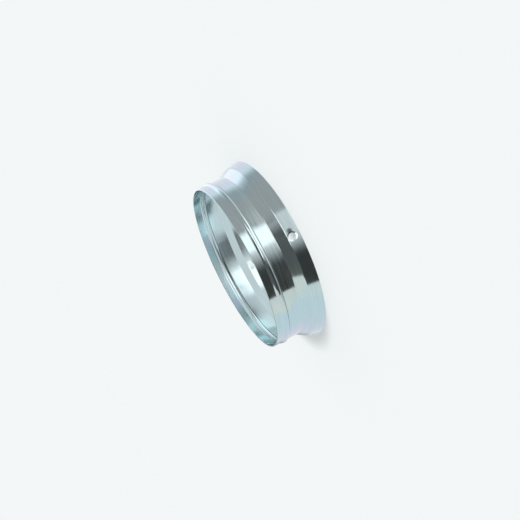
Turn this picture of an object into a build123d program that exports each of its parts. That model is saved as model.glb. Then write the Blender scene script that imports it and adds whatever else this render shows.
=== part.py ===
from build123d import *
import os
from math import atan2, cos, radians, sin, tan

# Heater duct adapter: one ring formed from zinc-plated sheet steel, in millimetres.
# The ring's axis is +Z. It stands on the wide rim of its collar at Z = 0, with the hose end up.

# Round sizes, all measured outside the sheet
hose_od = 90.0          # hose end and neck, the bore of the hose that goes over them
collar_root_od = 96.2   # collar where the cone ends
collar_mouth_od = 99.0  # collar at its rim

# Heights of the stretches, from the collar's rim up to the hose end
collar_length = 6.2
cone_length = 4.8
neck_length = 7.0
bead_step = 0.6         # steep back of the bead, which the hose clamp pulls against
bead_crest = 1.4
bead_ramp = 1.1         # lead-in that the hose slides up
hose_end_length = 3.9

# Sheet
sheet = 0.8
bead_height = 0.7

# Bends, each the radius on the tight side of the sheet
collar_bend = 0.6
neck_bend = 0.8
step_bend = 0.3
crest_bend = 0.2
brow_bend = 1.0
ramp_bend = 0.5

# Screw holes through the collar
hole_count = 4
hole_d = 3.5
hole_height = 3.9       # from the collar's rim to the hole's centre, along the ring's axis
seat_d = 5.2            # shallow coined seat round each hole
seat_depth = 0.2


def outside_line():
    """Corners of the outer surface as (radius, height), from the collar's rim to the hose end."""
    stretches = [
        (collar_mouth_od / 2, 0.0),
        (collar_root_od / 2, collar_length),
        (hose_od / 2, cone_length),
        (hose_od / 2, neck_length),
        (hose_od / 2 + bead_height, bead_step),
        (hose_od / 2 + bead_height, bead_crest),
        (hose_od / 2, bead_ramp),
        (hose_od / 2, hose_end_length),
    ]
    corners = []
    height = 0.0
    for radius, rise in stretches:
        height += rise
        corners.append(Vector(radius, height))
    return corners


def normal_of(start, end):
    """Unit vector from the outer surface towards the ring's axis."""
    run = (end - start).normalized()
    return Vector(-run.Y, run.X)


def inside_line(corners):
    """The outer corners moved in by one sheet, with both rims sheared square to the ring's axis."""
    normals = [normal_of(a, b) for a, b in zip(corners[:-1], corners[1:])]
    inner = [corners[0] - Vector(sheet / -normals[0].X, 0)]
    for corner, before, after in zip(corners[1:-1], normals[:-1], normals[1:]):
        inner.append(corner + (before + after) * (sheet / (1 + before.dot(after))))
    inner.append(corners[-1] - Vector(sheet / -normals[-1].X, 0))
    return inner


def bend_radii(corners):
    """Radius of each bend on the outer surface and on the inner one."""
    bends = [collar_bend, neck_bend, step_bend, crest_bend, brow_bend, ramp_bend]
    outer = []
    inner = []
    for bend, a, b, c in zip(bends, corners[:-2], corners[1:-1], corners[2:]):
        bulges_out = (b - a).cross(c - b).Z > 0
        outer.append(bend + sheet if bulges_out else bend)
        inner.append(bend if bulges_out else bend + sheet)
    return outer, inner


def fitted(radii, corners):
    """Radii of the bends along one surface, eased where two neighbours need more than the stretch between."""
    runs = [b - a for a, b in zip(corners[:-1], corners[1:])]
    setbacks = [r * tan(radians(a.get_angle(b)) / 2) for r, a, b in zip(radii, runs[:-1], runs[1:])]
    needs = [a + b for a, b in zip([0.0, *setbacks], [*setbacks, 0.0])]
    shares = [min(1.0, 0.96 * run.length / need) for run, need in zip(runs, needs)]
    return [r * min(before, after) for r, before, after in zip(radii, shares[:-1], shares[1:])]


def formed_ring():
    """The sheet's section turned once round the ring's axis."""
    outer = outside_line()
    inner = inside_line(outer)
    outer_radii, inner_radii = bend_radii(outer)
    corners = outer + inner[::-1]
    radii = [0, *fitted(outer_radii, outer), 0, 0, *fitted(inner_radii, inner)[::-1], 0]
    with BuildPart() as ring:
        with BuildSketch(Plane.XZ):
            with BuildLine():
                FilletPolyline(*corners, radius=radii, close=True)
            make_face()
        revolve(axis=Axis.Z)
    return ring.part


def hole_planes():
    """A plane on the collar's outer surface at each hole, square to the sheet."""
    rim, root = outside_line()[:2]
    centre = rim + (root - rim) * (hole_height / collar_length)
    lean = atan2(rim.X - root.X, collar_length)
    square = Plane(origin=(centre.X, 0, centre.Y), x_dir=(0, 1, 0), z_dir=(cos(lean), 0, sin(lean)))
    return [Rotation(0, 0, turn * 360 / hole_count) * square.location for turn in range(hole_count)]


def hole_cutter():
    """One pierced hole with its coined seat, in the hole's own plane."""
    reach = 2 * sheet
    flare = (seat_d - hole_d) / 2 / seat_depth
    hole = Cylinder(hole_d / 2, 2 * (reach + seat_depth))
    seat = Cone(hole_d / 2, seat_d / 2 + flare * reach, seat_depth + reach)
    return hole + Pos(0, 0, (reach - seat_depth) / 2) * seat


ring = formed_ring()
cutter = hole_cutter()
for place in hole_planes():
    ring = ring - place * cutter

os.makedirs("parts", exist_ok=True)
export_step(ring, "parts/adapter_ring.step")

print("outer box mm", ring.bounding_box().size)
print("volume mm3", round(ring.volume, 1))
print("bore mm", hose_od - 2 * sheet)
print("collar inside at its rim mm", round(2 * inside_line(outside_line())[0].X, 3))
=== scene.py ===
import math
import bmesh
import bpy
from mathutils import Matrix, Vector


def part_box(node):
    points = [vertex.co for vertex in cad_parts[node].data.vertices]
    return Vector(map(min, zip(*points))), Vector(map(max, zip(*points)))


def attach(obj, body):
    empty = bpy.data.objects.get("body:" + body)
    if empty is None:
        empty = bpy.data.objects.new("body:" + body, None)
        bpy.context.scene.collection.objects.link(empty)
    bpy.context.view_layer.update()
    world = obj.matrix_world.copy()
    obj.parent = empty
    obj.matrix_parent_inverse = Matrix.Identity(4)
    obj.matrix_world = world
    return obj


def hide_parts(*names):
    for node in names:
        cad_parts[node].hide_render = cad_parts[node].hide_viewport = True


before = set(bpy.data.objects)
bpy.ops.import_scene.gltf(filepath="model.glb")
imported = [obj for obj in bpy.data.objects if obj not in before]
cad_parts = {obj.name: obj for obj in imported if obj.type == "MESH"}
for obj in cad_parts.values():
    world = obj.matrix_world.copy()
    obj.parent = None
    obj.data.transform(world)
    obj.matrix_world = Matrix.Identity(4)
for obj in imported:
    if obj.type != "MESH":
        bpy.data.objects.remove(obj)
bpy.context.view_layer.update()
mm = 0.001
print("frame loaded:", sorted(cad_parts))


# Small helpers for the edit mode work

def clearSelection():
    if bpy.context.object and bpy.context.object.mode != "OBJECT":
        bpy.ops.object.mode_set(mode="OBJECT")
    bpy.ops.object.select_all(action="DESELECT")


def selectOnly(obj):
    clearSelection()
    bpy.context.view_layer.objects.active = obj
    obj.select_set(True)


def editOnly(obj):
    selectOnly(obj)
    bpy.ops.object.mode_set(mode="EDIT")
    bpy.ops.mesh.select_all(action="DESELECT")


def selectVertices(obj, wanted):
    mesh = bmesh.from_edit_mesh(obj.data)
    for vertex in mesh.verts:
        vertex.select = wanted(vertex.co)
    mesh.select_flush(True)
    bmesh.update_edit_mesh(obj.data)


# Small helpers for the materials

def mathNode(tree, operation, first, second=0.0):
    node = tree.nodes.new("ShaderNodeMath")
    node.operation = operation
    for socket, value in zip(node.inputs, (first, second)):
        if isinstance(value, (int, float)):
            socket.default_value = value
        else:
            tree.links.new(value, socket)
    return node.outputs[0]


def rangeNode(tree, value, start, end, low=0.0, high=1.0, smooth=False):
    node = tree.nodes.new("ShaderNodeMapRange")
    node.interpolation_type = "SMOOTHSTEP" if smooth else "LINEAR"
    node.inputs["From Min"].default_value = start
    node.inputs["From Max"].default_value = end
    node.inputs["To Min"].default_value = low
    node.inputs["To Max"].default_value = high
    tree.links.new(value, node.inputs["Value"])
    return node.outputs["Result"]


def wrapNode(tree, value, period):  # to half a period on both sides of zero
    lifted = mathNode(tree, "ADD", value, 2.5 * period)
    return mathNode(tree, "SUBTRACT", mathNode(tree, "MODULO", lifted, period), period / 2)


def shadeNode(tree, color, shade, share):
    node = tree.nodes.new("ShaderNodeMix")
    node.data_type = "RGBA"
    node.blend_type = "MULTIPLY"
    node.inputs["B"].default_value = shade
    tree.links.new(share, node.inputs["Factor"])
    tree.links.new(color, node.inputs["A"])
    return node.outputs["Result"]


def combineNode(tree, **parts):
    node = tree.nodes.new("ShaderNodeCombineXYZ")
    for axis, value in parts.items():
        tree.links.new(value, node.inputs[axis])
    return node.outputs[0]


def blendShaders(tree, share, first, second, output):
    node = tree.nodes.new("ShaderNodeMixShader")
    tree.links.new(share, node.inputs["Fac"])
    tree.links.new(first.outputs[0], node.inputs[1])
    tree.links.new(second.outputs[0], node.inputs[2])
    tree.links.new(node.outputs[0], tree.nodes[output].inputs["Surface"])


def placeNodes(tree):
    place = tree.nodes.new("ShaderNodeTexCoord").outputs["Object"]
    split = tree.nodes.new("ShaderNodeSeparateXYZ")
    tree.links.new(place, split.inputs[0])
    x, y, z = split.outputs
    turn = mathNode(tree, "ARCTAN2", x, mathNode(tree, "MULTIPLY", y, -1.0))  # from the front towards +X
    return {"place": place, "x": x, "y": y, "z": z, "turn": turn}


# The ring: one sheet, drawn as its section and spun round the axis

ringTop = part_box("adapter_ring")[1].z
ringSheet = {  # millimetres, on the outside of the sheet
    "hoseRadius": 45.0,
    "collarRootRadius": 48.1,
    "collarMouthRadius": 49.5,
    "collarLength": 6.2,
    "coneLength": 4.8,
    "neckLength": 7.0,
    "beadStep": 0.6,
    "beadCrest": 1.4,
    "beadRamp": 1.1,
    "beadHeight": 0.7,
    "sheet": 0.8,
    "rimRound": 0.12,
    "bends": [0.6, 0.8, 0.3, 0.2, 1.0, 0.5],  # tight side, from the collar up
    "bendSteps": 8,
    "rimSteps": 4,
    "turnSteps": 360,
    "pickReach": 1e-4,
    "weldReach": 1e-4,
    "smoothAngle": 10.0,  # degrees
    "flatWeight": 90,
}


def outerCorners(size):
    beadRadius = size["hoseRadius"] + size["beadHeight"]
    stretches = [
        (size["collarMouthRadius"], 0.0),
        (size["collarRootRadius"], size["collarLength"]),
        (size["hoseRadius"], size["coneLength"]),
        (size["hoseRadius"], size["neckLength"]),
        (beadRadius, size["beadStep"]),
        (beadRadius, size["beadCrest"]),
        (size["hoseRadius"], size["beadRamp"]),
    ]
    corners = []
    height = 0.0
    for radius, rise in stretches:
        height += rise
        corners.append(Vector((radius, 0.0, height)))
    corners.append(Vector((size["hoseRadius"], 0.0, ringTop / mm)))  # trimmed hose end
    return corners


def innerCorners(outer, sheet):
    normals = []
    for start, end in zip(outer[:-1], outer[1:]):
        run = (end - start).normalized()
        normals.append(Vector((-run.z, 0.0, run.x)))
    inner = [outer[0] + Vector((sheet / normals[0].x, 0.0, 0.0))]
    for corner, before, after in zip(outer[1:-1], normals[:-1], normals[1:]):
        inner.append(corner + (before + after) * (sheet / (1 + before.dot(after))))
    inner.append(outer[-1] + Vector((sheet / normals[-1].x, 0.0, 0.0)))
    return inner


def sectionRadii(outer, size):
    outside, inside = [], []
    for bend, a, b, c in zip(size["bends"], outer[:-2], outer[1:-1], outer[2:]):
        bulgesOut = (b - a).cross(c - b).y < 0
        outside.append(bend + size["sheet"] if bulgesOut else bend)
        inside.append(bend if bulgesOut else bend + size["sheet"])
    rim = size["rimRound"]
    return [rim, *outside, rim, rim, *inside[::-1], rim]


def makeRing(size):
    outer = outerCorners(size)
    section = outer + innerCorners(outer, size["sheet"])[::-1]
    radii = sectionRadii(outer, size)
    clearSelection()
    bpy.ops.mesh.primitive_circle_add(vertices=len(section), radius=1.0)
    ring = bpy.context.object
    ring.name = "adapterRing"
    for vertex, corner in zip(ring.data.vertices, section):
        vertex.co = corner
    editOnly(ring)
    for i, (corner, radius) in enumerate(zip(section, radii)):
        before = (corner - section[i - 1]).normalized()
        after = (section[(i + 1) % len(section)] - corner).normalized()
        setback = radius * math.tan(before.angle(after) / 2)
        selectVertices(ring, lambda co: (co - corner).length < size["pickReach"])
        steps = size["rimSteps"] if radius == size["rimRound"] else size["bendSteps"]
        bpy.ops.mesh.bevel(affect="VERTICES", offset_type="ABSOLUTE", offset=setback, segments=steps)
    bpy.ops.mesh.select_all(action="SELECT")
    bpy.ops.transform.resize(value=(mm, mm, mm), center_override=(0, 0, 0))
    bpy.ops.mesh.spin(steps=size["turnSteps"], angle=2 * math.pi, center=(0, 0, 0), axis=(0, 0, 1))
    bpy.ops.mesh.select_all(action="SELECT")
    bpy.ops.mesh.remove_doubles(threshold=size["weldReach"] * mm)
    bpy.ops.mesh.normals_make_consistent(inside=False)
    bpy.ops.object.mode_set(mode="OBJECT")
    print("ring spun:", len(ring.data.vertices), "vertices")
    return ring


# Screw holes through the collar, each with a shallow coined seat

screwHoles = {  # millimetres
    "count": 4,
    "holeRadius": 1.75,
    "holeHeight": 3.9,
    "seatRadius": 2.6,
    "seatDepth": 0.2,
    "reach": 2.0,
    "pickReach": 0.01,
    "sides": 64,
}


def pierceCollar(ring, holes, size):
    lean = math.atan2(size["collarMouthRadius"] - size["collarRootRadius"], size["collarLength"])
    along = holes["holeHeight"] / size["collarLength"]
    radius = size["collarMouthRadius"] + (size["collarRootRadius"] - size["collarMouthRadius"]) * along
    seatLift = holes["seatDepth"] + holes["reach"]
    flare = 1 + (holes["seatRadius"] / holes["holeRadius"] - 1) * seatLift / holes["seatDepth"]
    depth = 2 * holes["reach"]
    clearSelection()
    bpy.ops.mesh.primitive_cylinder_add(
        vertices=holes["sides"],
        radius=holes["holeRadius"] * mm,
        depth=depth * mm,
        location=(0, 0, -(depth / 2 + holes["seatDepth"]) * mm),
    )
    cutter = bpy.context.object
    bpy.ops.object.transform_apply(location=True, rotation=False, scale=False)
    editOnly(cutter)
    selectVertices(cutter, lambda co: co.z > -(holes["seatDepth"] + holes["pickReach"]) * mm)
    bpy.ops.mesh.extrude_region_move(TRANSFORM_OT_translate={"value": (0, 0, seatLift * mm)})
    bpy.ops.transform.resize(value=(flare, flare, 1), center_override=(0, 0, 0))
    bpy.ops.object.mode_set(mode="OBJECT")
    place = Matrix.Translation((radius * mm, 0, holes["holeHeight"] * mm))
    place = place @ Matrix.Rotation(math.pi / 2 - lean, 4, "Y")
    cutter.data.transform(place)
    cutters = [cutter]
    for turn in range(1, holes["count"]):
        copy = cutter.copy()
        copy.data = cutter.data.copy()
        bpy.context.collection.objects.link(copy)
        copy.data.transform(Matrix.Rotation(turn * 2 * math.pi / holes["count"], 4, "Z"))
        cutters.append(copy)
    for tool in cutters:
        cut = ring.modifiers.new("pierce", "BOOLEAN")
        cut.operation = "DIFFERENCE"
        cut.solver = "EXACT"
        cut.object = tool
        selectOnly(ring)
        bpy.ops.object.modifier_apply(modifier=cut.name)
    for tool in cutters:
        bpy.data.objects.remove(tool)
    print("collar pierced:", holes["count"], "holes")


def smoothRing(ring, size):
    selectOnly(ring)
    bpy.ops.object.shade_smooth_by_angle(angle=math.radians(size["smoothAngle"]))
    # the large faces lead, so that the straight stretches look straight in the light
    weigh = ring.modifiers.new("evenShade", "WEIGHTED_NORMAL")
    weigh.mode = "FACE_AREA"
    weigh.weight = size["flatWeight"]
    weigh.keep_sharp = True
    bpy.ops.object.modifier_apply(modifier=weigh.name)


# Bright zinc plate with a blue passivation: fine lines round the ring, cloudy tints

zincPlate = {
    "blue": (0.545, 0.71, 0.77, 1),
    "rose": (0.62, 0.665, 0.79, 1),
    "straw": (0.64, 0.745, 0.7, 1),
    "mint": (0.58, 0.72, 0.745, 1),
    "steel": (0.61, 0.715, 0.735, 1),
    "plain": (0.605, 0.705, 0.718, 1),
    # where each tint lies round the ring, as a share of the turn from the back
    "tintStops": [
        (0.0, "steel"), (0.13, "mint"), (0.23, "mint"), (0.26, "blue"), (0.3, "rose"), (0.345, "blue"),
        (0.4, "blue"), (0.42, "straw"), (0.445, "plain"), (0.6, "plain"), (0.65, "blue"), (0.69, "rose"),
        (0.76, "mint"), (0.88, "mint"), (1.0, "steel"),
    ],
    "tintWander": 0.14,
    "cloudScale": 42.0,
    "cloudDetail": 3.0,
    "anisotropy": 0.5,
    "anisotropyTurn": 0.25,
    "lineScale": 1900.0,
    "lineDetail": 6.0,
    "lineStretch": 0.0016,  # metres of change across the lines for a radian along them
    "lineShade": (0.96, 1.03),  # how much darker and paler the drawing lines are
    "lineSpread": (0.35, 0.65),  # of the noise, from the darkest lines to the palest
    "lineDepth": 0.2,
    "lineHeight": 0.02,  # millimetres
    "roughness": (0.09, 0.18),
    "roughSpread": (0.3, 0.7),  # of the noise, from the smoothest lines to the roughest
    "waveScale": 110.0,
    "waveDetail": 1.0,
    "waveDepth": 0.3,
    "waveHeight": 0.2,  # millimetres
    # painted shade: a dark band along the groove at the bead's foot
    "shadedCreaseHeight": 18.05,  # millimetres, the bead's foot, where the groove's shade is painted in
    "shadedCreaseHalf": 0.32,
    "paintedCreaseShade": (0.3, 0.31, 0.32, 1),
    # painted reflection: a dark spot beside each screw hole, where the drawn-in sheet round it would
    # mirror dark
    "darkSpotAside": 2.9,  # millimetres round the ring from a screw hole to the painted dark reflection by it
    "darkSpotReach": (0.5, 1.9),  # its dark middle and its faint edge
    "paintedReflectionShade": (0.22, 0.22, 0.23, 1),
    "darkSpotInside": 0.35,  # how much of it shows on the inner face
}


def noiseNode(tree, scale, detail, vector):
    node = tree.nodes.new("ShaderNodeTexNoise")
    node.inputs["Scale"].default_value = scale
    node.inputs["Detail"].default_value = detail
    tree.links.new(vector, node.inputs["Vector"])
    return node.outputs["Fac"]


def bumpNode(tree, height, strength, distance):
    node = tree.nodes.new("ShaderNodeBump")
    node.inputs["Strength"].default_value = strength
    node.inputs["Distance"].default_value = distance
    tree.links.new(height, node.inputs["Height"])
    return node


def tintNode(tree, finish, at):  # thin-film tints that drift round the ring
    cloud = noiseNode(tree, finish["cloudScale"], finish["cloudDetail"], at["place"])
    share = mathNode(tree, "ADD", mathNode(tree, "MULTIPLY", at["turn"], 0.5 / math.pi), 0.5)
    drift = mathNode(tree, "MULTIPLY", mathNode(tree, "SUBTRACT", cloud, 0.5), finish["tintWander"])
    tint = tree.nodes.new("ShaderNodeValToRGB")
    stops = tint.color_ramp.elements
    while len(stops) < len(finish["tintStops"]):
        stops.new(0.5)
    for stop, (position, name) in zip(stops, finish["tintStops"]):
        stop.position = position
    for stop, (position, name) in zip(stops, finish["tintStops"]):
        stop.color = finish[name]
    tree.links.new(mathNode(tree, "ADD", share, drift), tint.inputs["Fac"])
    return tint.outputs["Color"]


# painted shade: how much of the groove at the bead's foot is darkened
def paintedCreaseShadeShare(tree, finish, at):
    offset = mathNode(tree, "SUBTRACT", at["z"], finish["shadedCreaseHeight"] * mm)
    apart = mathNode(tree, "ABSOLUTE", offset)
    return rangeNode(tree, apart, finish["shadedCreaseHalf"] * mm, 0.0, smooth=True)


def paintedReflectionSpotShare(tree, finish, holes, size, at):  # a painted dark reflection by each screw hole, on the same side of it
    fromHole = wrapNode(tree, at["turn"], 2 * math.pi / holes["count"])
    along = mathNode(tree, "MULTIPLY", fromHole, at["radius"])
    along = mathNode(tree, "SUBTRACT", along, finish["darkSpotAside"] * mm)
    above = mathNode(tree, "SUBTRACT", at["z"], holes["holeHeight"] * mm)
    squares = [mathNode(tree, "MULTIPLY", side, side) for side in (along, above)]
    apart = mathNode(tree, "SQRT", mathNode(tree, "ADD", *squares))
    middle, faint = finish["darkSpotReach"]
    darkened = rangeNode(tree, apart, faint * mm, middle * mm, smooth=True)
    # the collar's flare taken off, so that the radius tells the inner face from the outer one
    mouth = size["collarMouthRadius"]
    flare = (mouth - size["collarRootRadius"]) / size["collarLength"]
    straight = mathNode(tree, "ADD", at["radius"], mathNode(tree, "MULTIPLY", at["z"], flare))
    face = rangeNode(tree, straight, (mouth - size["sheet"]) * mm, mouth * mm, low=finish["darkSpotInside"])
    return mathNode(tree, "MULTIPLY", darkened, face)


def zincMaterial(finish, holes, size):
    material = bpy.data.materials.new("zincPlate")
    material.use_nodes = True
    tree = material.node_tree
    nodes = tree.nodes
    links = tree.links
    shader = nodes["Principled BSDF"]
    shader.inputs["Metallic"].default_value = 1.0
    shader.inputs["Anisotropic"].default_value = finish["anisotropy"]
    shader.inputs["Anisotropic Rotation"].default_value = finish["anisotropyTurn"]
    at = placeNodes(tree)
    length = nodes.new("ShaderNodeVectorMath")
    length.operation = "LENGTH"
    links.new(combineNode(tree, X=at["x"], Y=at["y"]), length.inputs[0])
    at["radius"] = length.outputs["Value"]

    # radius and height across the lines, a little of the turn along them
    stretch = mathNode(tree, "MULTIPLY", at["turn"], finish["lineStretch"])
    across = combineNode(tree, X=at["radius"], Y=at["z"], Z=stretch)
    lines = noiseNode(tree, finish["lineScale"], finish["lineDetail"], across)
    wave = noiseNode(tree, finish["waveScale"], finish["waveDetail"], at["place"])

    color = tintNode(tree, finish, at)
    # painted shade in the groove at the bead's foot
    color = shadeNode(tree, color, finish["paintedCreaseShade"], paintedCreaseShadeShare(tree, finish, at))
    # painted reflection: a dark spot beside each screw hole
    color = shadeNode(tree, color, finish["paintedReflectionShade"], paintedReflectionSpotShare(tree, finish, holes, size, at))
    lined = nodes.new("ShaderNodeVectorMath")
    lined.operation = "SCALE"
    links.new(color, lined.inputs[0])
    links.new(rangeNode(tree, lines, *finish["lineSpread"], *finish["lineShade"]), lined.inputs["Scale"])
    links.new(lined.outputs["Vector"], shader.inputs["Base Color"])

    rough = rangeNode(tree, lines, *finish["roughSpread"], *finish["roughness"])
    links.new(rough, shader.inputs["Roughness"])
    tangent = nodes.new("ShaderNodeTangent")
    tangent.direction_type = "RADIAL"
    tangent.axis = "Z"
    links.new(tangent.outputs[0], shader.inputs["Tangent"])
    sheetWave = bumpNode(tree, wave, finish["waveDepth"], finish["waveHeight"] * mm)
    drawLines = bumpNode(tree, lines, finish["lineDepth"], finish["lineHeight"] * mm)
    links.new(sheetWave.outputs[0], drawLines.inputs["Normal"])
    links.new(drawLines.outputs[0], shader.inputs["Normal"])
    return material


# Floor and backdrop

studio = {
    "floorSide": 60.0,
    "floorColor": (0.92, 0.945, 0.95, 1),
    "floorRoughness": 0.8,
    "backdropColor": (0.9, 0.925, 0.93, 1),
    "backdropShare": 0.25,  # of the floor's look, so that its shadows stay pale
    "roomColor": (0.98, 1, 1, 1),
    "roomStrength": 0.585,
}


def makeFloor(setup):
    clearSelection()
    bpy.ops.mesh.primitive_plane_add(size=setup["floorSide"])
    floor = bpy.context.object
    floor.name = "paleFloor"
    material = bpy.data.materials.new("paleFloor")
    material.use_nodes = True
    tree = material.node_tree
    shader = tree.nodes["Principled BSDF"]
    shader.inputs["Base Color"].default_value = setup["floorColor"]
    shader.inputs["Roughness"].default_value = setup["floorRoughness"]
    shader.inputs["Specular IOR Level"].default_value = 0.0
    pale = tree.nodes.new("ShaderNodeEmission")
    pale.inputs["Color"].default_value = setup["backdropColor"]
    pale.inputs["Strength"].default_value = 1.0
    path = tree.nodes.new("ShaderNodeLightPath")
    share = mathNode(tree, "MULTIPLY", path.outputs["Is Camera Ray"], setup["backdropShare"])
    blendShaders(tree, share, shader, pale, "Material Output")
    floor.data.materials.append(material)
    floor.visible_glossy = False  # the metal mirrors the curtain there instead


def makeBackdrop(setup):
    world = bpy.data.worlds.new("studioWorld")
    bpy.context.scene.world = world
    world.use_nodes = True
    tree = world.node_tree
    room = tree.nodes["Background"]
    room.inputs["Color"].default_value = setup["roomColor"]
    room.inputs["Strength"].default_value = setup["roomStrength"]
    pale = tree.nodes.new("ShaderNodeBackground")
    pale.inputs["Color"].default_value = setup["backdropColor"]
    pale.inputs["Strength"].default_value = 1.0
    path = tree.nodes.new("ShaderNodeLightPath")
    seen = mathNode(tree, "ADD", path.outputs["Is Camera Ray"], path.outputs["Is Glossy Ray"])
    seen = mathNode(tree, "ADD", seen, path.outputs["Is Transmission Ray"])
    seen.node.use_clamp = True
    blendShaders(tree, seen, room, pale, "World Output")


# Curtain with cards on it, which only reflections see

curtain = {
    "radius": 0.15,
    "reach": 1.0,  # above and below the floor
    "sides": 180,
    "color": (0.97, 0.99, 1, 1),
    "wallTone": 0.86,
    "fade": 0.04,  # of a card's upper and lower edge
    # degrees round the ring from the front towards +X, softness of both ends, rise over run, tone
    "cards": {
        "backWall": ((160, 220), (20, 20), (-0.1, 9), 0.4),
        "sideWall": ((94, 160), (16, 20), (-0.3, 0.05), 0.97),
        "highWall": ((97, 158), (10, 20), (0.05, 9), 1.3),
        "greyCard": ((28, 90), (5, 16), (-0.17, 9), 0.45),
        "blackFlag": ((-50, -5), (1.5, 26), (-0.17, 0.25), 0.05),
        "highFlag": ((-44, 26), (1.5, 30), (0.25, 9), 0.12),
        "lowFlag": ((-62, -16), (20, 20), (-1.1, -0.17), 0.22),
        "lowBox": ((0, 48), (16, 16), (-1.1, -0.17), 1.75),
        "softBox": ((5, 26), (7, 7), (-0.17, 0.045), 1.5),
        "collarBox": ((0, 26), (24, 5), (0.045, 0.25), 0.8),
        "stripLamp": ((-6, 34), (8, 12), (0.29, 0.52), 2.0),
    },
}


def curtainMaterial(setup):
    material = bpy.data.materials.new("curtainCloth")
    material.use_nodes = True
    tree = material.node_tree
    tree.nodes.remove(tree.nodes["Principled BSDF"])
    at = placeNodes(tree)
    degrees = mathNode(tree, "DEGREES", at["turn"])
    rise = mathNode(tree, "DIVIDE", at["z"], setup["radius"])
    fade = setup["fade"] / 2
    tone = None
    for (start, end), softness, (bottom, top), cardTone in setup["cards"].values():
        half = (end - start) / 2
        startSoft, endSoft = softness[0] / 2, softness[1] / 2
        fromMiddle = wrapNode(tree, mathNode(tree, "SUBTRACT", degrees, (start + end) / 2), 360.0)
        mask = rangeNode(tree, fromMiddle, -half - startSoft, startSoft - half, smooth=True)
        otherEdges = [
            rangeNode(tree, fromMiddle, half + endSoft, half - endSoft, smooth=True),
            rangeNode(tree, rise, bottom - fade, bottom + fade, smooth=True),
            rangeNode(tree, rise, top + fade, top - fade, smooth=True),
        ]
        for edge in otherEdges:
            mask = mathNode(tree, "MULTIPLY", mask, edge)
        card = tree.nodes.new("ShaderNodeMix")
        card.inputs["A"].default_value = setup["wallTone"]
        card.inputs["B"].default_value = cardTone
        tree.links.new(mask, card.inputs["Factor"])
        if tone:
            tree.links.new(tone, card.inputs["A"])
        tone = card.outputs["Result"]
    glow = tree.nodes.new("ShaderNodeEmission")
    glow.inputs["Color"].default_value = setup["color"]
    tree.links.new(tone, glow.inputs["Strength"])
    tree.links.new(glow.outputs[0], tree.nodes["Material Output"].inputs["Surface"])
    return material


def makeCurtain(setup):
    clearSelection()
    bpy.ops.mesh.primitive_cylinder_add(
        vertices=setup["sides"],
        radius=setup["radius"],
        depth=2 * setup["reach"],
        end_fill_type="NOTHING",
    )
    cloth = bpy.context.object
    cloth.name = "studioCurtain"
    cloth.data.materials.append(curtainMaterial(setup))
    cloth.visible_camera = False
    cloth.visible_diffuse = False
    cloth.visible_shadow = False
    cloth.visible_transmission = False


# One soft lamp, with its angle in degrees

softLamp = {"place": (0.46, -0.26, 0.95), "angle": 18.0, "strength": 1.43}


def makeLamp(lamp):
    clearSelection()
    bpy.ops.object.light_add(type="SUN", location=lamp["place"])
    light = bpy.context.object
    light.name = "softKey"
    light.data.angle = math.radians(lamp["angle"])
    light.data.energy = lamp["strength"]
    light.rotation_mode = "QUATERNION"
    light.rotation_quaternion = (-Vector(lamp["place"])).to_track_quat("-Z", "Y")
    light.visible_glossy = False


# Camera at the photograph's viewing angle, rolled as the ring leans there

photoView = {
    "place": (-10.7, -374.23, 107.44),  # millimetres
    "right": (-0.4502, -0.215, -0.8666),
    "up": (0.8926, -0.1328, -0.4308),
    "focalPixels": 740.0,
    "framePixels": 520.0,
    "sensor": 36.0,
    "clip": (0.01, 50.0),  # metres
}


def makeCamera(shot):
    data = bpy.data.cameras.new("photoCamera")
    camera = bpy.data.objects.new("photoCamera", data)
    bpy.context.scene.collection.objects.link(camera)
    right = Vector(shot["right"]).normalized()
    up = Vector(shot["up"])
    up = (up - right * up.dot(right)).normalized()
    back = right.cross(up)
    turn = Matrix((right, up, back)).transposed().to_4x4()
    camera.matrix_world = Matrix.Translation(Vector(shot["place"]) * mm) @ turn
    data.sensor_width = shot["sensor"]
    data.lens = shot["focalPixels"] / shot["framePixels"] * shot["sensor"]
    data.clip_start, data.clip_end = shot["clip"]
    bpy.context.scene.camera = camera


ring = makeRing(ringSheet)
pierceCollar(ring, screwHoles, ringSheet)
ring.data.materials.clear()
ring.data.materials.append(zincMaterial(zincPlate, screwHoles, ringSheet))
smoothRing(ring, ringSheet)
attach(ring, "root")
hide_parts("adapter_ring")
print("ring finished:", len(ring.data.polygons), "faces")

makeFloor(studio)
makeBackdrop(studio)
makeCurtain(curtain)
makeLamp(softLamp)
makeCamera(photoView)
bpy.context.scene.view_settings.view_transform = "Standard"
print("studio and camera set")
